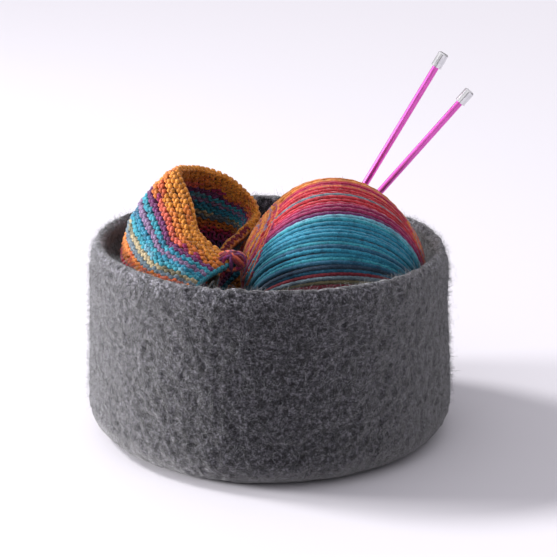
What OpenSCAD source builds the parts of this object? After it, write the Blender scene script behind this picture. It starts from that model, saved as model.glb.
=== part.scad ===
// A round felted knitting bag, packed with a striped ball of yarn on a second ball,
// a rolled piece of garter-stitch knitting and a pair of straight needles.
// The origin is the centre of the bag's underside. +Z is up and -Y is the front.

/* [Bag] */
// Outside radius of the bag at its widest
bag_r = 127; // [125:1:135]
// Outside radius of the bag at its rim
rim_r = 124; // [122:1:132]
// Height of the rim above the table
bag_h = 136; // [132:1:150]
// Thickness of the felt
felt_t = 7; // [5:0.5:7]
// Outside radius of the rounded corner between the base and the wall
corner_r = 22; // [18:1:26]

/* [Yarn] */
// Radius of the striped ball of yarn
ball_r = 64; // [55:1:64]
// How far the striped ball sits to the right of the bag's centre
ball_x = 43.5; // [43:0.5:46]
// How far the striped ball sits in front of the bag's centre
ball_front = 14; // [12:1:14]
// Height of the squashed ball under the striped one
under_h = 44.5; // [40:0.5:50]
// Overall radius of the squashed ball
under_r = 52; // [46:1:52]

/* [Knitting] */
// Thickness of the garter-stitch fabric
knit_t = 4.6; // [3:0.2:5]
// How much the loop narrows from the rim of the bag to its floor
knit_foot = 0.9; // [0.85:0.01:0.92]

/* [Needles] */
// Diameter of the needles
needle_d = 5; // [3:0.25:5.5]
// Length of a needle over its cap
needle_l = 274; // [240:1:275]
// Length of the tapered point
point_l = 13; // [8:1:16]
// Diameter of the end cap
cap_d = 8; // [7:0.5:9]
// Length of the end cap
cap_l = 11; // [8:0.5:14]
// Depth of the socket in the cap
socket_l = 8; // [5:0.5:9]

/* [Hidden] */
$fn = 96;

// Clearance between soft pieces that lie against each other
gap = 0.4;
floor_z = felt_t + gap;
base_r = bag_r - corner_r;
ball_z = floor_z + under_h + gap + ball_r;

// The outer end of each needle at [x, y, z], and how far it leans to the right
needle_ends = [[125.3, 92, 246.8], [144.1, 84, 221.1]];
needle_leans = [29.8, 40.35];
cap_edge = 0.8;
point_tip_d = 1.2;

// The top edge of the rolled knitting, from its outer end at the front right,
// round the left and the back to its inner end behind the striped ball
knit_top = [
    [-21, -60, 137], [-37, -52, 144], [-45, -44, 149], [-49, -36, 153], [-52, -21, 163],
    [-57, -7, 172], [-62.5, 9, 181], [-54, 28, 178], [-43, 38, 174], [-28, 44, 166],
    [-17, 44, 156], [-11, 41, 149], [-9, 34, 141], [-18, 20, 134], [-29, 2, 129],
    [-35, -20, 125], [-36, -42, 122]];
// The same fabric where it passes the rim of the bag, point for point
knit_waist = [
    [-50, -86, 124], [-61, -84, 125], [-72, -77, 126], [-83, -66, 126], [-91, -47, 127],
    [-97, -26, 128], [-99, -2, 128], [-95, 22, 128], [-84, 42, 128], [-66, 55, 127],
    [-44, 59, 125], [-27, 53, 123], [-21, 41, 120], [-27, 24, 117], [-35, 4, 114],
    [-39, -18, 112], [-39, -40, 110]];
knit_centre = [-66, -10];
knit_waist_v = 0.6;
// The fabric rises almost straight from the waist before it leans in to the top edge
knit_lean_start = 0.2;
knit_lean_height = 0.65;
knit_steps_u = 56;
knit_steps_v = 12;

// A point on the smooth open curve through the points p, with t from 0 to 1
function along(p, t) =
    let (n = len(p) - 1,
         s = min(max(t, 0), 1) * n,
         i = min(floor(s), n - 1),
         f = s - i,
         a = p[max(i - 1, 0)],
         b = p[i],
         c = p[i + 1],
         d = p[min(i + 2, n)])
    0.5 * (2 * b + (c - a) * f + (2 * a - 5 * b + 4 * c - d) * f * f
           + (3 * b - a - 3 * c + d) * f * f * f);

// The middle of the fabric: u runs along its rows, v from its bottom to its top edge
function knit_mid(u, v) =
    let (w = along(knit_waist, u),
         t = along(knit_top, u),
         foot = [knit_centre.x + knit_foot * (w.x - knit_centre.x),
                 knit_centre.y + knit_foot * (w.y - knit_centre.y),
                 floor_z],
         lean = [w.x + knit_lean_start * (t.x - w.x),
                 w.y + knit_lean_start * (t.y - w.y),
                 w.z + knit_lean_height * (t.z - w.z)],
         f = (v - knit_waist_v) / (1 - knit_waist_v))
    v < knit_waist_v
        ? foot + (w - foot) * v / knit_waist_v
        : w * (1 - f) * (1 - f) + lean * 2 * f * (1 - f) + t * f * f;

// The direction out of the fabric's outer face
function knit_out(u, v) =
    let (d = 0.01,
         along_row = knit_mid(min(u + d, 1), v) - knit_mid(max(u - d, 0), v),
         up = knit_mid(u, min(v + d, 1)) - knit_mid(u, max(v - d, 0)),
         n = cross(up, along_row))
    n / norm(n);

function knit_face(u, side) =
    [for (j = [0 : knit_steps_v])
        let (v = j / knit_steps_v)
        knit_mid(u, v) + side * knit_t / 2 * knit_out(u, v)];

function reversed(p) = [for (i = [len(p) - 1 : -1 : 0]) p[i]];

// Outline of the felt shell from its axis outwards, with the rounded corner and rim
module shell_outline() {
    difference() {
        union() {
            square([base_r, corner_r]);
            translate([base_r, corner_r]) circle(r = corner_r);
            polygon([[0, corner_r], [bag_r, corner_r], [rim_r, bag_h - felt_t / 2],
                     [0, bag_h - felt_t / 2]]);
            translate([rim_r - felt_t / 2, bag_h - felt_t / 2]) circle(d = felt_t);
        }
        translate([0, felt_t]) square([base_r, corner_r]);
        translate([base_r, corner_r]) circle(r = corner_r - felt_t);
        polygon([[0, corner_r], [bag_r - felt_t, corner_r],
                 [rim_r - felt_t, bag_h - felt_t / 2], [rim_r - felt_t, bag_h + felt_t],
                 [0, bag_h + felt_t]]);
    }
}

module base_disc() {
    color("dimgray")
        cylinder(r = base_r, h = felt_t);
}

// The rounded edge, where the felt turns up from the base into the wall
module base_edge() {
    color("gray")
        rotate_extrude()
            intersection() {
                shell_outline();
                translate([base_r, 0]) square([corner_r, corner_r]);
            }
}

module side_wall() {
    color("slategray")
        rotate_extrude()
            difference() {
                shell_outline();
                square([bag_r, corner_r]);
            }
}

module striped_yarn_ball() {
    color("steelblue")
        translate([ball_x, -ball_front, ball_z])
            sphere(r = ball_r);
}

// A ball of yarn pressed flat above and below
module lower_yarn_ball() {
    side_r = under_h / 2;
    color("darkred")
        translate([ball_x, -ball_front, floor_z])
            rotate_extrude() {
                square([under_r - side_r, under_h]);
                translate([under_r - side_r, side_r])
                    intersection() {
                        circle(r = side_r);
                        translate([0, -side_r]) square([side_r, under_h]);
                    }
            }
}

// One strip of fabric of even thickness, swept round the loop
module knitted_piece() {
    ring = 2 * (knit_steps_v + 1);
    last = knit_steps_u * ring;
    points = [for (i = [0 : knit_steps_u])
                  let (u = i / knit_steps_u)
                  each concat(knit_face(u, 1), reversed(knit_face(u, -1)))];
    walls = [for (i = [0 : knit_steps_u - 1], j = [0 : ring - 1])
                 let (a = i * ring + j, b = i * ring + (j + 1) % ring)
                 each [[a, a + ring, b], [b, a + ring, b + ring]]];
    first_end = [for (j = [0 : knit_steps_v - 1])
                     let (k = ring - 1 - j)
                     each [[j, k - 1, k], [j, j + 1, k - 1]]];
    last_end = [for (f = first_end) [f.x + last, f.z + last, f.y + last]];
    color("darkorange")
        polyhedron(points = points, faces = concat(walls, first_end, last_end));
}

// Places a needle drawn along Z, with the outer end of its cap at the origin
module at_needle(i) {
    translate(needle_ends[i])
        rotate([0, needle_leans[i], 0])
            children();
}

module needle_shaft() {
    shaft_l = needle_l - point_l - (cap_l - socket_l);
    color("mediumvioletred") {
        translate([0, 0, point_l - needle_l])
            cylinder(d = needle_d, h = shaft_l);
        translate([0, 0, -needle_l])
            cylinder(d1 = point_tip_d, d2 = needle_d, h = point_l);
    }
}

module needle_cap() {
    color("silver")
        translate([0, 0, -cap_l])
            difference() {
                union() {
                    cylinder(d = cap_d, h = cap_l - cap_edge);
                    translate([0, 0, cap_l - cap_edge])
                        cylinder(d1 = cap_d, d2 = cap_d - 2 * cap_edge, h = cap_edge);
                }
                translate([0, 0, -1]) cylinder(d = needle_d, h = socket_l + 1);
            }
}

module needle_1_shaft() { at_needle(0) needle_shaft(); }
module needle_1_cap() { at_needle(0) needle_cap(); }
module needle_2_shaft() { at_needle(1) needle_shaft(); }
module needle_2_cap() { at_needle(1) needle_cap(); }

base_disc();
base_edge();
side_wall();
striped_yarn_ball();
lower_yarn_ball();
knitted_piece();
needle_1_shaft();
needle_1_cap();
needle_2_shaft();
needle_2_cap();
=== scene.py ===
import math
import bpy
import numpy as np
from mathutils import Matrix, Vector


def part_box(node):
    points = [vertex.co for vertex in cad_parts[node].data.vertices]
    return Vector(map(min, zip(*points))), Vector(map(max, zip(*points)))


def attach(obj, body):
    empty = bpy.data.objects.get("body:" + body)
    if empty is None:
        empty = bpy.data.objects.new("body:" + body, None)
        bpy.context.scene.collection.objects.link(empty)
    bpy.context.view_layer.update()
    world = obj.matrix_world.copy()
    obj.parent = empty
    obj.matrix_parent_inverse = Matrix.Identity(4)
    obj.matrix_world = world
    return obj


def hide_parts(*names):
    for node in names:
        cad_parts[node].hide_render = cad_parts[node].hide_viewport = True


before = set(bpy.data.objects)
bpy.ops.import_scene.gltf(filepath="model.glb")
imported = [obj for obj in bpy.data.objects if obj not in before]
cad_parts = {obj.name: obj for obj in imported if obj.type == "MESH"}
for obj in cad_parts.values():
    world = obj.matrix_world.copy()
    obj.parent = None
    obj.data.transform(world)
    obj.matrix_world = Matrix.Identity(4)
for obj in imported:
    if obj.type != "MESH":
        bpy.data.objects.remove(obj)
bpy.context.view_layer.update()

MM = 0.001
TAU = 2 * math.pi
rng = np.random.default_rng(7)


# ---------------------------------------------------------------- camera, floor, light
CAMERA_PLACE = (0.0061, -1.2389, 0.5000)
CAMERA_TILT = 72.36
CAMERA_LENS = 120.75
FLOOR_HALF = 9.0
# The studio is brighter overhead than at the sides
SKY_LOW, SKY_HIGH = 0.20, 0.98


def make_camera():
    data = bpy.data.cameras.new("camera")
    data.lens = CAMERA_LENS
    data.sensor_width = 36
    camera = bpy.data.objects.new("camera", data)
    camera.location = CAMERA_PLACE
    camera.rotation_euler = (math.radians(CAMERA_TILT), 0, 0)
    bpy.context.collection.objects.link(camera)
    bpy.context.scene.camera = camera


def area_light(name, place, size, power, colour, target=(0, 0, 0.08)):
    data = bpy.data.lights.new(name, "AREA")
    data.shape = "DISK"
    data.size = size
    data.energy = power
    data.color = colour
    lamp = bpy.data.objects.new(name, data)
    lamp.location = place
    aim = Vector(target) - Vector(place)
    lamp.rotation_euler = aim.to_track_quat("-Z", "Y").to_euler()
    bpy.context.collection.objects.link(lamp)


def sun_light(name, toward, strength, spread, colour):
    data = bpy.data.lights.new(name, "SUN")
    data.energy = strength
    data.angle = math.radians(spread)
    data.color = colour
    lamp = bpy.data.objects.new(name, data)
    lamp.rotation_euler = (-Vector(toward)).to_track_quat("-Z", "Y").to_euler()
    bpy.context.collection.objects.link(lamp)


def make_studio():
    floor = make_mesh("floor", np.array([[-1, -1, 0], [1, -1, 0], [1, 1, 0], [-1, 1, 0]]) * FLOOR_HALF,
                      [[0, 1, 2, 3]])
    floor.data.materials.append(plain_material("floor_paper", (0.67, 0.655, 0.70), 0.85))
    world = bpy.data.worlds.new("studio")
    world.use_nodes = True
    tree = world.node_tree
    back = tree.nodes["Background"]
    back.inputs[0].default_value = (0.98, 0.955, 1.0, 1)
    split = tree.nodes.new("ShaderNodeSeparateXYZ")
    tree.links.new(tree.nodes.new("ShaderNodeTexCoord").outputs["Generated"], split.inputs[0])
    glow = tree.nodes.new("ShaderNodeMapRange")
    glow.inputs["To Min"].default_value, glow.inputs["To Max"].default_value = SKY_LOW, SKY_HIGH
    tree.links.new(split.outputs["Z"], glow.inputs["Value"])
    tree.links.new(glow.outputs["Result"], back.inputs[1])
    bpy.context.scene.world = world
    sun_light("key", (-1.25, 0.50, 1.30), 2.3, 11, (1.0, 0.985, 0.985))
    area_light("left_side", (-1.8, 0.12, 0.36), 0.45, 64, (1.0, 0.985, 0.985))
    area_light("front_fill", (-0.7, -1.6, 1.3), 1.6, 3, (1.0, 0.98, 0.98))
    bpy.context.scene.view_settings.view_transform = "Standard"


# ---------------------------------------------------------------- mesh helpers
def make_mesh(name, verts, faces, smooth=True, uv=None, mats=(), mat_index=None):
    mesh = bpy.data.meshes.new(name)
    mesh.from_pydata(np.asarray(verts, float).tolist(), [], np.asarray(faces).tolist())
    if uv is not None:
        layer = mesh.uv_layers.new(name="OFBake")
        layer.data.foreach_set("uv", np.asarray(uv, np.float32).reshape(-1))
    for material in mats:
        mesh.materials.append(material)
    if mat_index is not None:
        mesh.polygons.foreach_set("material_index", np.asarray(mat_index, np.int32))
    mesh.polygons.foreach_set("use_smooth", np.full(len(mesh.polygons), smooth))
    mesh.update()
    piece = bpy.data.objects.new(name, mesh)
    bpy.context.collection.objects.link(piece)
    return piece


def unit(v):
    return v / np.maximum(np.linalg.norm(v, axis=-1, keepdims=True), 1e-9)


def lattice(cell, seed):
    """A repeatable random number from 0 to 1 for each whole-numbered cell."""
    h = np.sin(cell[..., 0] * 127.1 + cell[..., 1] * 311.7 + cell[..., 2] * 74.7 + seed * 19.19)
    h = h * 43758.5453
    return h - np.floor(h)


def noise(p, size, seed=0):
    """Smooth noise from -1 to 1 with features of about that size."""
    q = p / size
    base = np.floor(q)
    f = q - base
    f = f * f * (3 - 2 * f)
    total = 0
    for dx in (0, 1):
        for dy in (0, 1):
            for dz in (0, 1):
                weight = ((f[..., 0] if dx else 1 - f[..., 0])
                          * (f[..., 1] if dy else 1 - f[..., 1])
                          * (f[..., 2] if dz else 1 - f[..., 2]))
                total = total + weight * lattice(base + np.array([dx, dy, dz]), seed)
    return 2 * total - 1


def grid_faces(rows, columns, wrap):
    """Quads over a grid of points, columns closing on themselves if wrap is true."""
    across = columns if wrap else columns - 1
    i, k = np.meshgrid(np.arange(rows - 1), np.arange(across), indexing="ij")
    k2 = (k + 1) % columns
    quads = np.stack([i * columns + k, i * columns + k2, (i + 1) * columns + k2,
                      (i + 1) * columns + k], -1).reshape(-1, 4)
    uv = np.stack([np.stack([k, i], -1), np.stack([k + 1, i], -1), np.stack([k + 1, i + 1], -1),
                   np.stack([k, i + 1], -1)], 2).reshape(-1, 4, 2)
    return quads, uv / np.array([across, rows - 1])


PLY_LOBE = 0.13


def tubes(paths, outs, radius, sides, closed, ply_turn=0.0):
    """Strands of two-ply yarn along paths of shape (strands, points, 3), outs giving their up side."""
    strands, count = paths.shape[:2]
    if closed:
        run = np.roll(paths, -1, 1) - np.roll(paths, 1, 1)
    else:
        run = np.gradient(paths, axis=1)
    run = unit(run)
    up = unit(outs - run * (outs * run).sum(-1, keepdims=True))
    side = np.cross(run, up)
    angle = np.arange(sides) * TAU / sides
    step = np.linalg.norm(np.diff(paths, axis=1), axis=-1)
    length = np.concatenate([np.zeros((strands, 1)), np.cumsum(step, 1)], 1)
    turn = length[..., None] * ply_turn
    lobes = PLY_LOBE * np.cos(2 * (angle - turn)) if ply_turn else np.zeros((strands, count, sides))
    thick = np.broadcast_to(radius, (strands,))[:, None, None] * (1 + lobes)
    if not closed:
        thick = thick.copy()
        thick[:, [0, -1]] *= 0.25
    verts = paths[:, :, None] + thick[..., None] * (
        np.cos(angle)[:, None] * up[:, :, None] + np.sin(angle)[:, None] * side[:, :, None])
    along = count if closed else count - 1
    s, i, k = np.meshgrid(np.arange(strands), np.arange(along), np.arange(sides), indexing="ij")
    i2, k2 = (i + 1) % count, (k + 1) % sides
    quads = np.stack([(s * count + a) * sides + b for a, b in ((i, k), (i, k2), (i2, k2), (i2, k))],
                     -1).reshape(-1, 4)
    uv = np.stack([np.stack([(s + 0.06 + 0.88 * b / sides) / strands, a / along], -1)
                   for a, b in ((i, k), (i, k + 1), (i + 1, k + 1), (i + 1, k))], 3)
    return verts.reshape(-1, 3), quads, uv.reshape(-1, 4, 2), s.reshape(-1), i.reshape(-1)


# ---------------------------------------------------------------- materials
def shader(name):
    material = bpy.data.materials.new(name)
    material.use_nodes = True
    return material, material.node_tree, material.node_tree.nodes["Principled BSDF"]


def plain_material(name, colour, rough):
    material, tree, surface = shader(name)
    surface.inputs["Base Color"].default_value = (*colour, 1)
    surface.inputs["Roughness"].default_value = rough
    material.diffuse_color = (*colour, 1)
    return material


def add_noise(tree, place, scale, detail=3.0, rough=0.6):
    node = tree.nodes.new("ShaderNodeTexNoise")
    node.inputs["Scale"].default_value = scale
    node.inputs["Detail"].default_value = detail
    node.inputs["Roughness"].default_value = rough
    tree.links.new(place, node.inputs["Vector"])
    return node.outputs["Fac"]


def ramp(tree, value, stops):
    node = tree.nodes.new("ShaderNodeValToRGB")
    points = node.color_ramp.elements
    while len(points) < len(stops):
        points.new(0.5)
    for point, (place, colour) in zip(points, stops):
        point.position = place
        point.color = (*colour, 1)
    tree.links.new(value, node.inputs["Fac"])
    return node.outputs["Color"]


def add_bump(tree, surface, height, strength, distance):
    node = tree.nodes.new("ShaderNodeBump")
    node.inputs["Strength"].default_value = strength
    node.inputs["Distance"].default_value = distance
    tree.links.new(height, node.inputs["Height"])
    tree.links.new(node.outputs["Normal"], surface.inputs["Normal"])


def multiply(tree, a, b, amount):
    node = tree.nodes.new("ShaderNodeMix")
    node.data_type = "RGBA"
    node.blend_type = "MULTIPLY"
    node.inputs["Factor"].default_value = amount
    tree.links.new(a, node.inputs[6])
    tree.links.new(b, node.inputs[7])
    return node.outputs[2]


def felt_material():
    """Grey wool felt: fine light and dark fibres, broader patches, a painted highlight towards the rim, and a
    woolly bump.
    """
    material, tree, surface = shader("heathered_felt")
    place = tree.nodes.new("ShaderNodeTexCoord").outputs["Object"]
    fine = add_noise(tree, place, 560, 4, 0.8)
    broad = add_noise(tree, place, 55, 3, 0.6)
    fibres = ramp(tree, fine, [(0.39, (0.028, 0.027, 0.032)), (0.5, (0.15, 0.147, 0.166)),
                               (0.63, (0.66, 0.645, 0.71))])
    patches = ramp(tree, broad, [(0.35, (0.66, 0.66, 0.67)), (0.65, (1.0, 1.0, 1.0))])
    clumps = ramp(tree, add_noise(tree, place, 300, 2, 0.5), [(0.40, (0.16, 0.16, 0.18)), (0.55, (1, 1, 1))])
    # Painted highlight: the felt is coloured lighter over the last 12 mm up to the rim, where its rounded edge
    # catches the light
    height = tree.nodes.new("ShaderNodeSeparateXYZ")
    tree.links.new(place, height.inputs[0])
    rim = tree.nodes.new("ShaderNodeMapRange")
    rim.inputs["From Min"].default_value = RIM_MEAN * MM - 0.012
    rim.inputs["From Max"].default_value = RIM_MEAN * MM
    tree.links.new(height.outputs["Z"], rim.inputs["Value"])
    wear_and_highlight = ramp(tree, rim.outputs["Result"], [(0, (0.315, 0.31, 0.325)), (1, (0.68, 0.68, 0.70))])
    colour = multiply(tree, multiply(tree, fibres, patches, 1.0), clumps, 0.85)
    tree.links.new(multiply(tree, colour, wear_and_highlight, 1.0), surface.inputs["Base Color"])
    surface.inputs["Roughness"].default_value = 0.95
    surface.inputs["Specular IOR Level"].default_value = 0.15
    surface.inputs["Sheen Weight"].default_value = 0.6
    surface.inputs["Sheen Roughness"].default_value = 0.45
    add_bump(tree, surface, add_noise(tree, place, 700, 5, 0.75), 0.9, 0.0014)
    return material


def yarn_material(name, colour, tint=0.35):
    """Wool yarn: darker and lighter fibres of one colour, with slow changes along the strand."""
    material, tree, surface = shader(name)
    place = tree.nodes.new("ShaderNodeTexCoord").outputs["Object"]
    c = np.array(colour)
    fine = ramp(tree, add_noise(tree, place, 900, 3, 0.7),
                [(0.32, tuple(c * (1 - tint))), (0.5, tuple(c * 1.15)),
                 (0.7, tuple(np.minimum(c * 1.6 + 0.03, 1)))])
    slow = ramp(tree, add_noise(tree, place, 150, 3, 0.6), [(0.32, (0.52, 0.50, 0.56)), (0.5, (0.95, 0.95, 0.95)),
                                                     (0.68, (1, 1, 1))])
    tree.links.new(multiply(tree, fine, slow, 0.8), surface.inputs["Base Color"])
    surface.inputs["Roughness"].default_value = 0.88
    surface.inputs["Specular IOR Level"].default_value = 0.2
    surface.inputs["Sheen Weight"].default_value = 0.25
    surface.inputs["Sheen Roughness"].default_value = 0.45
    add_bump(tree, surface, add_noise(tree, place, 1500, 4, 0.7), 0.6, 0.0005)
    return material


def metal_material(name, colour, rough):
    """Metal with fine drawing marks and faint wear."""
    material, tree, surface = shader(name)
    place = tree.nodes.new("ShaderNodeTexCoord").outputs["Object"]
    c = np.array(colour)
    wear_and_highlight = ramp(tree, add_noise(tree, place, 180, 3, 0.6),
                [(0.3, tuple(c * 0.86)), (0.7, tuple(np.minimum(c * 1.08, 1)))])
    tree.links.new(wear_and_highlight, surface.inputs["Base Color"])
    surface.inputs["Metallic"].default_value = 0.85
    surface.inputs["Roughness"].default_value = rough
    surface.inputs["Coat Weight"].default_value = 0.3
    surface.inputs["Coat Roughness"].default_value = 0.12
    add_bump(tree, surface, add_noise(tree, place, 2200, 2, 0.5), 0.08, 0.0001)
    return material


YARN_COLOURS = {
    "orange": (0.46, 0.130, 0.018), "golden": (0.50, 0.185, 0.020), "rust": (0.42, 0.075, 0.02),
    "red": (0.38, 0.022, 0.034), "crimson": (0.34, 0.014, 0.055), "salmon": (0.48, 0.085, 0.05), "magenta": (0.22, 0.014, 0.070),
    "purple": (0.115, 0.022, 0.095), "lilac": (0.17, 0.11, 0.20), "sky": (0.10, 0.28, 0.36),
    "teal": (0.016, 0.17, 0.26), "aqua": (0.025, 0.215, 0.28),
    "deep_teal": (0.014, 0.085, 0.15), "navy": (0.025, 0.050, 0.085),
    "olive": (0.13, 0.115, 0.065), "beige": (0.33, 0.27, 0.16), "slate": (0.10, 0.14, 0.17),
    "maroon": (0.13, 0.010, 0.020)}
YARNS = list(YARN_COLOURS)


# ---------------------------------------------------------------- the felt bag
RIM_MEAN, RIM_TILT, RIM_HIGH_SIDE = 134.8, 2.6, math.radians(205)
WAIST_Z, WAIST_IN = 95.0, 1.4
# How far the wall rolls inwards over its last part, up to the rim
ROLL_FROM, ROLL_IN = 0.86, 2.6
CORNER_R = 22.0
FELT_T = 7.0


def bag_sizes():
    low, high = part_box("side_wall")
    base_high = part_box("base_edge")[1]
    return high[0] / MM, high[2] / MM, base_high[2] / MM


def roll(t):
    return ROLL_IN * max(0, (t - ROLL_FROM) / (1 - ROLL_FROM)) ** 2


def bag_profile(bag_r, rim_r):
    """(radius, share of the height, is wall) from the centre underneath, out, up and back in."""
    base_r = bag_r - CORNER_R
    points = [(r, 0.0, 0) for r in np.linspace(1.0, base_r, 12)]
    for a in np.linspace(0, math.pi / 2, 16)[1:]:
        points.append((base_r + CORNER_R * math.sin(a), CORNER_R * (1 - math.cos(a)), 0))
    for t in np.linspace(0, 1, 84)[1:]:
        points.append((bag_r + (rim_r - bag_r) * t - roll(t), t, 1))
    half = FELT_T / 2
    for a in np.linspace(0, math.pi, 15)[1:]:
        points.append((rim_r - ROLL_IN - half + half * math.cos(a), 1.25 * half * math.sin(a), 2))
    for t in np.linspace(1, 0, 44)[1:]:
        points.append((bag_r - FELT_T + (rim_r - bag_r) * t - roll(t), t, 1))
    inner = CORNER_R - FELT_T
    for a in np.linspace(math.pi / 2, 0, 10)[1:]:
        points.append((base_r + inner * math.sin(a), CORNER_R - inner * math.cos(a), 0))
    points += [(r, FELT_T, 0) for r in np.linspace(base_r, 1.0, 10)[1:]]
    return points


def make_bag():
    bag_r, bag_h, corner_z = bag_sizes()
    rim_r = bag_r - 3.0
    turns = 500
    theta = np.arange(turns) * TAU / turns
    around = np.stack([np.cos(theta), np.sin(theta)], -1)
    ring = np.concatenate([around * 40, np.zeros((turns, 1))], 1)
    rim_z = (RIM_MEAN + RIM_TILT * np.cos(theta - RIM_HIGH_SIDE) + 1.1 * noise(ring, 17, 3)
             - 1.25 * FELT_T / 2)
    rows = []
    for r, t, kind in bag_profile(bag_r, rim_r):
        z = {0: np.full(turns, t), 1: corner_z + (rim_z - corner_z) * t, 2: rim_z + t}[kind]
        pinch = WAIST_IN * np.exp(-((z - WAIST_Z) / 26) ** 2) * (0.6 + 0.4 * np.cos(theta))
        radius = r - (pinch if kind else 0)
        rows.append(np.concatenate([around * np.reshape(radius, (-1, 1)), z[:, None]], 1))
    p = np.array(rows)
    quads, uv = grid_faces(len(rows), turns, True)
    out = unit(np.cross(np.roll(p, -1, 1) - np.roll(p, 1, 1), np.gradient(p, axis=0)))
    pits = np.minimum(noise(p, 2.6, 5) + 0.15, 0)
    fluff = 0.6 * noise(p, 3.6, 1) + 0.6 * noise(p, 10, 2) + 0.35 * noise(p, 2.0, 4) + 1.5 * pits
    free = np.clip(p[..., 2:3] / 3.0, 0, 1)
    p = p + out * fluff[..., None] * free
    p[..., 2] = np.maximum(p[..., 2], 0)
    bag = make_mesh("felt_bag", p.reshape(-1, 3) * MM, quads, uv=uv, mats=[felt_material()])
    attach(bag, "bag")
    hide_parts("base_disc", "base_edge", "side_wall")
    return p, out


FUZZ_COUNT = 46000
FUZZ_GREYS = {"fuzz_dark": (0.035, 0.036, 0.04), "fuzz_mid": (0.14, 0.145, 0.155),
              "fuzz_light": (0.36, 0.37, 0.39)}


RIBBON_POINTS = 3


def ribbons(name, root, normal, half_width, reach, shade, mats, body, stand=0.9):
    """Loose fibres as thin curved ribbons, each standing a little off the surface."""
    count = len(root)
    lean = unit(np.cross(normal, rng.normal(size=(count, 3))))
    curl = np.cross(normal, lean) * rng.uniform(-0.7, 0.7, (count, 1))
    length = (rng.gamma(4.0, 0.9, (count, 1)) + 1.0) * reach
    lift = rng.uniform(0.2, stand, (count, 1))
    steps = np.linspace(0, 1, RIBBON_POINTS)
    path = np.stack([root - 0.2 * normal
                     + length * (lean * t + curl * t * t + normal * lift * t * (1.3 - t))
                     for t in steps], 1)
    across = unit(np.cross(normal + 0.8 * rng.normal(size=normal.shape), lean))[:, None]
    width = (half_width * (1.1 - steps))[None, :, None]
    verts = np.stack([path - across * width, path + across * width], 2)
    verts[..., 2] = np.maximum(verts[..., 2], 0.3)
    f, i = np.meshgrid(np.arange(count), np.arange(RIBBON_POINTS - 1), indexing="ij")
    a = (f * RIBBON_POINTS + i) * 2
    quads = np.stack([a, a + 1, a + 3, a + 2], -1).reshape(-1, 4)
    fuzz = make_mesh(name, verts.reshape(-1, 3) * MM, quads, mat_index=np.repeat(shade, RIBBON_POINTS - 1),
                     mats=mats)
    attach(fuzz, body)
    return fuzz


def make_fuzz(p, out):
    rows = rng.integers(27, 135, FUZZ_COUNT)
    cols = rng.integers(0, p.shape[1], FUZZ_COUNT)
    shade = rng.choice(3, FUZZ_COUNT, p=[0.3, 0.42, 0.28])
    ribbons("felt_fuzz", p[rows, cols], out[rows, cols], 0.065, 0.72, shade,
            [plain_material(n, c, 0.9) for n, c in FUZZ_GREYS.items()], "bag", stand=2.4)


# ---------------------------------------------------------------- the balls of yarn
WIND_TILT = math.radians(17.6)
WIND_UP = np.array([0, math.sin(WIND_TILT), math.cos(WIND_TILT)])
WIND_FRONT = np.array([0, -math.cos(WIND_TILT), math.sin(WIND_TILT)])
WIND_SIDE = np.array([1.0, 0, 0])
WIND_DROP = 0.48
STRAND_R = 1.62
STRAND_PITCH = 1.9
# The colour of the strands up to each angle round the ball, from below the front
BALL_BANDS = [(19, "maroon"), (24, "olive"), (31, "navy"), (51, "teal"), (53, "sky"),
              (55, "purple"), (61, "magenta"), (64, "red"), (66, "slate"), (70, "red"),
              (78, "rust"), (100, "orange"), (112, "golden"), (124, "olive"), (138, "red"),
              (156, "teal"), (180, "navy")]
# Self-striping yarn is never one even colour: what each band is mixed with
BAND_MIX = {"teal": ("teal", "aqua", "teal", "aqua", "teal", "deep_teal"), "red": ("red", "crimson", "red"),
            "magenta": ("magenta", "crimson", "magenta"), "orange": ("orange", "golden", "rust"),
            "rust": ("rust", "orange", "red", "crimson"), "navy": ("navy", "deep_teal", "slate"),
            "golden": ("golden", "orange", "golden"), "salmon": ("salmon", "orange", "magenta"),
            "aqua": ("aqua", "teal", "sky"), "beige": ("beige", "slate", "olive"),
            "purple": ("purple", "magenta", "purple"), "olive": ("olive", "slate", "maroon")}


def mixed(colours):
    return [BAND_MIX.get(c, (c,))[rng.integers(len(BAND_MIX.get(c, (c,))))] for c in colours]


def centre_and_radius(node):
    low, high = (np.array(c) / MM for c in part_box(node))
    return (low + high) / 2, (high - low) / 2


def hoops(centre, normals, offsets, radius, steps):
    """Closed loops on a ball, each in the plane with that normal and offset from the centre."""
    n = unit(normals)
    first = unit(np.cross(n, np.array([0.31, 0.27, 0.91])))
    second = np.cross(n, first)
    a = np.arange(steps) * TAU / steps
    small = np.sqrt(np.maximum(radius ** 2 - offsets ** 2, 1.0))[:, None, None]
    ring = first[:, None] * np.cos(a)[:, None] + second[:, None] * np.sin(a)[:, None]
    path = n[:, None] * offsets[:, None, None] + small * ring
    return centre + path, unit(path)


# Where the ball has slumped: a direction from its centre, how deep in mm, and how wide in radians
SLUMPS = [(-0.71 * WIND_SIDE + 0.58 * WIND_UP + 0.25 * WIND_FRONT, 5.0, 0.42),
          (0.75 * WIND_SIDE + 0.60 * WIND_UP, 2.5, 0.40)]


def settle(path, centre):
    away = unit(path - centre)
    for direction, depth, spread in SLUMPS:
        angle = np.arccos(np.clip((away * unit(direction)).sum(-1, keepdims=True), -1, 1))
        path = path - away * depth * np.exp(-(angle / spread) ** 2)
    return path


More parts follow.
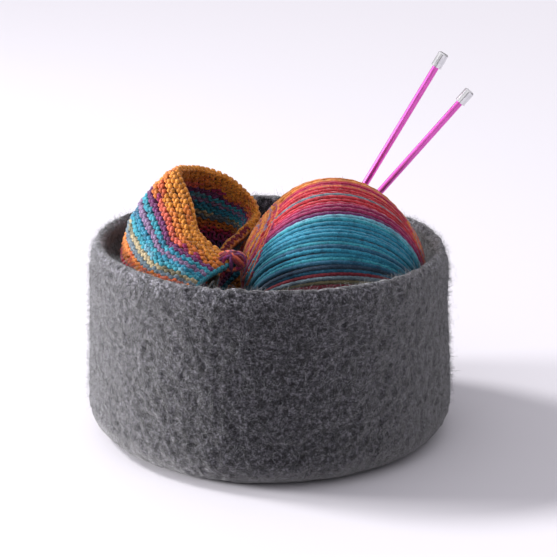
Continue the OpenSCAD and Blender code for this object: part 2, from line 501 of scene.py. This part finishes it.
def core_mesh(name, centre, radius, body, colour, squash=1.0):
    """The wound mass of yarn that shows between the outer strands."""
    rows, cols = 48, 96
    a = np.linspace(0.02, math.pi - 0.02, rows)[:, None]
    b = np.arange(cols) * TAU / cols
    p = np.stack([np.sin(a) * np.cos(b), np.sin(a) * np.sin(b), np.cos(a) * np.ones(cols)], -1)
    p = p * (radius + 0.5 * noise(p * radius, 4, 8))[..., None]
    p[..., 2] *= squash
    if body == "striped_ball":
        p = settle(p, np.zeros(3))
    quads, uv = grid_faces(rows, cols, True)
    core = make_mesh(name, (centre + p).reshape(-1, 3) * MM, quads[:, ::-1], uv=uv[:, ::-1],
                     mats=[yarn_material(name + "_wool", colour)])
    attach(core, body)
    return core


def make_striped_ball():
    centre, half = centre_and_radius("striped_yarn_ball")
    outer = half[0] - STRAND_R
    angles = np.arange(-1, 179, STRAND_PITCH)
    phi = np.radians(angles)[:, None]
    sway = (0.03 * np.sin(np.arange(len(angles)) * 0.37)
            + 0.012 * np.sin(np.arange(len(angles)) * 2.4))[:, None]
    normals = -np.sin(phi) * WIND_FRONT + np.cos(phi) * WIND_UP + sway * WIND_SIDE
    radius = outer - 0.45 + 0.45 * np.sin(np.arange(len(angles)) * 1.7)
    offsets = -WIND_DROP * outer * np.cos(phi[:, 0])
    path, up = hoops(centre, normals, offsets, radius, 145)
    path = settle(path, centre)
    colour = [next(c for top, c in BALL_BANDS if a <= top) for a in angles]
    strands_piece("striped_ball_strands", path, up, mixed(colour), STRAND_R, 7, "striped_ball",
                  fuzz=9000)
    # A later batch wound round the ends, across the main one
    turn = np.concatenate([np.arange(6, 34, 2.0), np.arange(6, 20, 2.0)])
    side = np.concatenate([-np.ones(14), np.ones(7)])
    tilt = 0.16 * np.sin(np.arange(len(turn)) * 1.9)[:, None]
    normals = WIND_SIDE - 0.34 * side[:, None] * WIND_UP * -1 + tilt * WIND_FRONT
    path, up = hoops(centre, normals, side * outer * np.cos(np.radians(turn)), np.full(len(turn), outer),
                     150)
    path = settle(path, centre)
    shades = ["orange", "golden", "rust", "lilac", "golden", "magenta", "orange"]
    strands_piece("striped_ball_end_strands", path, up, [shades[i % 7] for i in range(len(turn))],
                  STRAND_R, 7, "striped_ball")
    core = core_mesh("striped_ball_core", centre, outer - 1.9, "striped_ball",
                     YARN_COLOURS["maroon"])
    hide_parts("striped_yarn_ball")


def strands_piece(name, path, up, colours, radius, sides, body, closed=True, ply=0.8, fuzz=0):
    """Strands as one piece. colours has one colour a strand, or a list of them along each strand."""
    verts, quads, uv, strand, point = tubes(path, up, radius, sides, closed, ply)
    table = np.array([c if isinstance(c, list) else [c] for c in colours])
    used = sorted(set(table.reshape(-1)))
    picked = np.searchsorted(used, table)
    chunk = np.minimum(point * table.shape[1] // path.shape[1], table.shape[1] - 1)
    piece = make_mesh(name, verts * MM, quads, uv=uv, mat_index=picked[strand, chunk],
                      mats=[WOOL[c] for c in used])
    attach(piece, body)
    if not fuzz:
        return piece
    s, i = rng.integers(0, path.shape[0], fuzz), rng.integers(0, path.shape[1], fuzz)
    side = unit(up[s, i] + 0.7 * rng.normal(size=(fuzz, 3)))
    width = np.broadcast_to(radius, (path.shape[0],))[s][:, None]
    shade = picked[s, np.minimum(i * table.shape[1] // path.shape[1], table.shape[1] - 1)]
    return piece, ribbons(name + "_fuzz", path[s, i] + side * width * 0.9, side, 0.07, 0.55, shade,
                          [FUZZ_WOOL[c] for c in used], body)


def make_lower_ball():
    """A dark red ball pressed flat, wound in two directions."""
    centre, half = centre_and_radius("lower_yarn_ball")
    outer = half[0] - STRAND_R
    squash = (half[2] - STRAND_R) / outer
    for batch, tilt in enumerate((0.0, 1.1)):
        spin = np.radians(np.arange(0, 180, 3.4))
        normals = np.stack([np.cos(spin), np.sin(spin), tilt + 0.15 * np.sin(spin * 7)], -1)
        path, up = hoops(np.zeros(3), normals, np.zeros(len(spin)), np.full(len(spin), outer - batch), 96)
        # Raised shoulders, so that the ball is flat above and below
        share = path / outer
        flat = np.clip(np.abs(share[..., 2:3]) * 1.5, 0, 1) * np.sign(share[..., 2:3])
        path = np.concatenate([path[..., :2], flat * outer * squash], -1)
        strands_piece("lower_ball_strands_%d" % (batch + 1), centre + path, up, ["maroon"] * len(spin),
                      STRAND_R, 6, "lower_ball")
    core = core_mesh("lower_ball_core", centre, outer - 3, "lower_ball",
                     YARN_COLOURS["maroon"], squash)
    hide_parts("lower_yarn_ball")


# ---------------------------------------------------------------- the rolled knitting
# The fabric's edges, as the CAD has them
KNIT_TOP = np.array([
    [-21, -60, 137], [-37, -52, 144], [-45, -44, 149], [-49, -36, 153], [-52, -21, 163],
    [-57, -7, 172], [-62.5, 9, 181], [-54, 28, 178], [-43, 38, 174], [-28, 44, 166],
    [-17, 44, 156], [-11, 41, 149], [-9, 34, 141], [-18, 20, 134], [-29, 2, 129],
    [-35, -20, 125], [-36, -42, 122]], float)
KNIT_WAIST = np.array([
    [-50, -86, 124], [-61, -84, 125], [-72, -77, 126], [-83, -66, 126], [-91, -47, 127],
    [-97, -26, 128], [-99, -2, 128], [-95, 22, 128], [-84, 42, 128], [-66, 55, 127],
    [-44, 59, 125], [-27, 53, 123], [-21, 41, 120], [-27, 24, 117], [-35, 4, 114],
    [-39, -18, 112], [-39, -40, 110]], float)
KNIT_CENTRE = np.array([-66.0, -10.0])
KNIT_FOOT, KNIT_FLOOR, KNIT_WAIST_V = 0.9, 7.4, 0.6
LEAN_START, LEAN_HEIGHT = 0.2, 0.65
STITCHES, RIDGES = 54, 34
# Worsted yarn on 5 mm needles: 20 stitches and 20 ridges to 100 mm, lying flat
# The colour of each ridge, from the top edge down
RIDGE_COLOURS = ["golden", "golden", "orange", "salmon", "purple", "aqua", "lilac", "teal", "aqua",
                 "beige", "slate", "orange", "orange", "red", "magenta", "purple", "teal"]
FLECK_SHARE = 0.45
# Beyond this share of its length the fabric is in the dark behind the ball, and its top edge strand is coloured
# dark maroon there as painted shade
EDGE_SHADE_TURN = 0.76


def along(p, t):
    s = np.clip(t, 0, 1) * (len(p) - 1)
    i = np.minimum(np.floor(s).astype(int), len(p) - 2)
    f = (s - i)[..., None]
    a, b, c, d = p[np.maximum(i - 1, 0)], p[i], p[i + 1], p[np.minimum(i + 2, len(p) - 1)]
    return 0.5 * (2 * b + (c - a) * f + (2 * a - 5 * b + 4 * c - d) * f ** 2
                  + (3 * b - a - 3 * c + d) * f ** 3)


def knit_mid(u, v):
    w, t = along(KNIT_WAIST, u), along(KNIT_TOP, u)
    foot = np.concatenate([KNIT_CENTRE + KNIT_FOOT * (w[..., :2] - KNIT_CENTRE),
                           np.full(w.shape[:-1] + (1,), KNIT_FLOOR)], -1)
    share = np.array([LEAN_START, LEAN_START, LEAN_HEIGHT])
    lean = w + share * (t - w)
    f = ((v - KNIT_WAIST_V) / (1 - KNIT_WAIST_V))[..., None]
    low = foot + (w - foot) * v[..., None] / KNIT_WAIST_V
    high = w * (1 - f) ** 2 + lean * 2 * f * (1 - f) + t * f ** 2
    return np.where(v[..., None] < KNIT_WAIST_V, low, high)


def knit_out(u, v):
    d = 0.01
    row = knit_mid(np.minimum(u + d, 1), v) - knit_mid(np.maximum(u - d, 0), v)
    rise = knit_mid(u, np.minimum(v + d, 1)) - knit_mid(u, np.maximum(v - d, 0))
    return unit(np.cross(rise, row))


def even_u(share):
    """u at a share of the way along the row, so that every stitch is as long as the next."""
    u = np.linspace(0, 1, 400)
    p = knit_mid(u, np.full(400, 0.8))
    length = np.concatenate([[0], np.cumsum(np.linalg.norm(np.diff(p, axis=0), axis=1))])
    return np.interp(share, length / length[-1], u)


def flecked(colour, count):
    """That many stitches of a colour, with runs of what it is mixed with."""
    out = []
    while len(out) < count:
        other = mixed([colour])[0] if rng.random() < FLECK_SHARE else colour
        out += [other] * int(rng.integers(1, 4))
    return out[:count]


def knit_rows(name, rows, per_stitch, sides, fuzz=0):
    """Rows of real loops. Every second row sinks between the ridges."""
    phase = np.linspace(0, TAU * STITCHES, STITCHES * per_stitch + 1)
    row = np.array(rows)[:, None]
    purl = row % 2 == 0
    share = (phase + 0.55 * np.sin(2 * phase)) / (TAU * STITCHES)
    u = np.broadcast_to(even_u(np.clip(share, 0.004, 0.996)), (len(rows), len(phase)))
    v = (row + 0.5 + np.where(purl, 0.40, 0.8) * np.cos(phase)) / (2 * RIDGES)
    v = np.clip(v, 0.008, 1.0)
    lift = np.where(purl, 1.1 + 1.3 * np.cos(2 * phase), -1.9 - 0.2 * np.cos(2 * phase))
    up = knit_out(u, v)
    path = knit_mid(u, v) + up * lift[..., None]
    path = path + 0.95 * np.stack([noise(path, 5, s) for s in (11, 12, 13)], -1)
    colours = [RIDGE_COLOURS[((2 * RIDGES - 1 - r) // 2) % len(RIDGE_COLOURS)] for r in rows]
    return strands_piece(name, path, up, [flecked(c, STITCHES) for c in colours],
                         np.where(purl[:, 0], 1.72, 1.0), sides, "knitting", closed=False,
                         ply=0.9, fuzz=fuzz)


def edge_strand(name, u, v, colour, reach):
    """One strand bulging in and out along an edge of the fabric."""
    up = knit_out(u, v)
    wave = np.arange(len(u)) * TAU / 6
    path = knit_mid(u, v) + up * (reach * np.cos(wave))[:, None]
    path[:, 2] = np.maximum(path[:, 2] + 0.5 * np.sin(wave), KNIT_FLOOR + 1.6)
    return strands_piece(name, path[None], up[None], [colour], 1.5, 8, "knitting",
                         closed=False)


def make_corner_lump():
    """The knotted corner where the outer end of the fabric turns over."""
    corner = knit_mid(np.array([0.0]), np.array([1.0]))[0] + np.array([-4.0, -1.0, 0.5])
    spin = np.arange(11) * 1.3
    normals = np.stack([np.cos(spin), np.sin(spin), 0.7 * np.sin(spin * 2.1)], -1)
    path, up = hoops(np.zeros(3), normals, 2.0 * np.sin(spin * 3), np.full(11, 6.8), 40)
    path = corner + path * np.array([1.45, 0.85, 0.9])
    shades = ["purple", "maroon", "salmon", "magenta"]
    return strands_piece("knit_corner", path, up, [shades[i % 4] for i in range(11)], 1.4, 7, "knitting")


def make_knitting():
    u, v = np.meshgrid(even_u(np.linspace(0.004, 0.996, 110)), np.linspace(0.005, 0.995, 60))
    p = knit_mid(u, v)
    quads, uv = grid_faces(60, 110, False)
    # Painted shade: the sheet in the middle of the fabric is a very dark red-brown, so the gaps between the
    # ridges read as shade
    fabric = make_mesh("knit_fabric", p.reshape(-1, 3) * MM, quads, uv=uv,
                       mats=[yarn_material("knit_shade_sheet", (0.05, 0.022, 0.025))])
    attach(fabric, "knitting")
    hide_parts("knitted_piece")
    pieces = [knit_rows("knit_rows_hidden", range(0, 36), 8, 4),
              *knit_rows("knit_rows_lower", range(36, 52), 12, 6, fuzz=2500),
              *knit_rows("knit_rows_upper", range(52, 68), 12, 6, fuzz=3500)]
    line = even_u(np.linspace(0.004, 0.996, STITCHES * 6))
    # Painted shade: the top edge strand is golden in the light and dark maroon where it turns into the dark
    # behind the ball
    pieces.append(edge_strand("knit_top_edge", line, np.full(len(line), 0.998),
                              ["golden" if share < EDGE_SHADE_TURN else "maroon"
                               for share in np.linspace(0, 1, STITCHES)], 1.2))
    rise = np.linspace(0.02, 0.99, RIDGES * 6)
    pieces.append(edge_strand("knit_outer_selvedge", np.full(len(rise), 0.002), rise, "aqua", 1.5))
    pieces.append(edge_strand("knit_inner_selvedge", np.full(len(rise), 0.998), rise, "olive", 1.5))
    pieces.append(make_corner_lump())


# ---------------------------------------------------------------- the needles
def dress_needles():
    pink = metal_material("pink_anodised", (0.76, 0.13, 0.55), 0.3)
    silver = metal_material("bright_cap", (0.78, 0.78, 0.80), 0.2)
    for node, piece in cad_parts.items():
        if node.startswith("needle"):
            piece.data.materials.clear()
            piece.data.materials.append(silver if node.endswith("cap") else pink)


make_camera()
make_studio()
WOOL = {name: yarn_material("wool_" + name, colour) for name, colour in YARN_COLOURS.items()}
FUZZ_WOOL = {name: plain_material("fuzz_" + name, [1.3 * c + 0.03 for c in colour], 0.9)
             for name, colour in YARN_COLOURS.items()}
felt_points, felt_out = make_bag()
make_fuzz(felt_points, felt_out)
make_lower_ball()
make_striped_ball()
make_knitting()
dress_needles()
